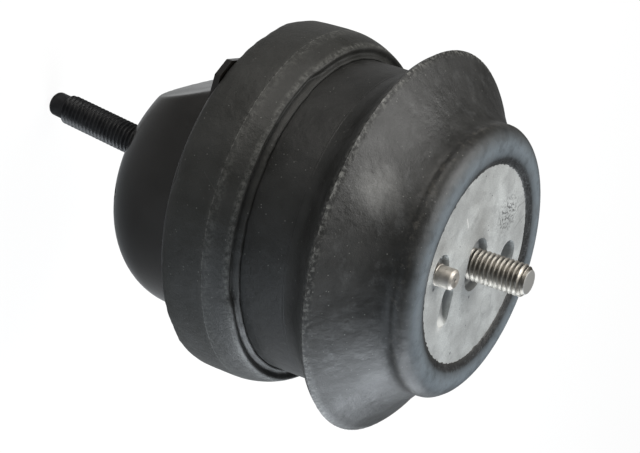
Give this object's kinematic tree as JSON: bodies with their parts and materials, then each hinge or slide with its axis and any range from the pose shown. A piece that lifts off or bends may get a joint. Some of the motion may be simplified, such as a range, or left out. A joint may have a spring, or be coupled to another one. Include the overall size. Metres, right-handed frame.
{
  "type": "engine_mount",
  "caption": "Round hydraulic engine mount: flat alloy face with stud and locating pin, flared rubber skirt, rubber sleeve over a rolled edge, domed black steel cup with a slanting stud",
  "frame": {"origin": "where the upper stud's axis meets the core's flat top face", "axes": "+Z along the upper stud and out of the face, +X to the side that the lower stud leans to, +Y to the side that the locating pin stands on"},
  "size_m": [0.1168, 0.1168, 0.1763],
  "materials": {
    "bright_steel": "bright zinc",
    "cast_aluminium": "as cast",
    "spring_rubber": "moulded, satin",
    "sleeve_rubber": "moulded, matt",
    "plate_aluminium": "as cast",
    "inner_rubber": "smooth",
    "black_steel": "black dip coat, semi gloss",
    "black_stud": "black phosphate"
  },
  "bodies": {
    "root": {"upper_stud": "bright_steel", "locating_pin": "bright_steel", "core": "cast_aluminium", "main_spring": "spring_rubber", "outer_shell": "black_steel", "rubber_sleeve": "sleeve_rubber", "upper_channel_plate": "plate_aluminium", "lower_channel_plate": "plate_aluminium", "decoupler": "inner_rubber", "diaphragm": "inner_rubber", "lower_cup": "black_steel", "lower_stud": "black_stud"}
  },
  "joints": []
}
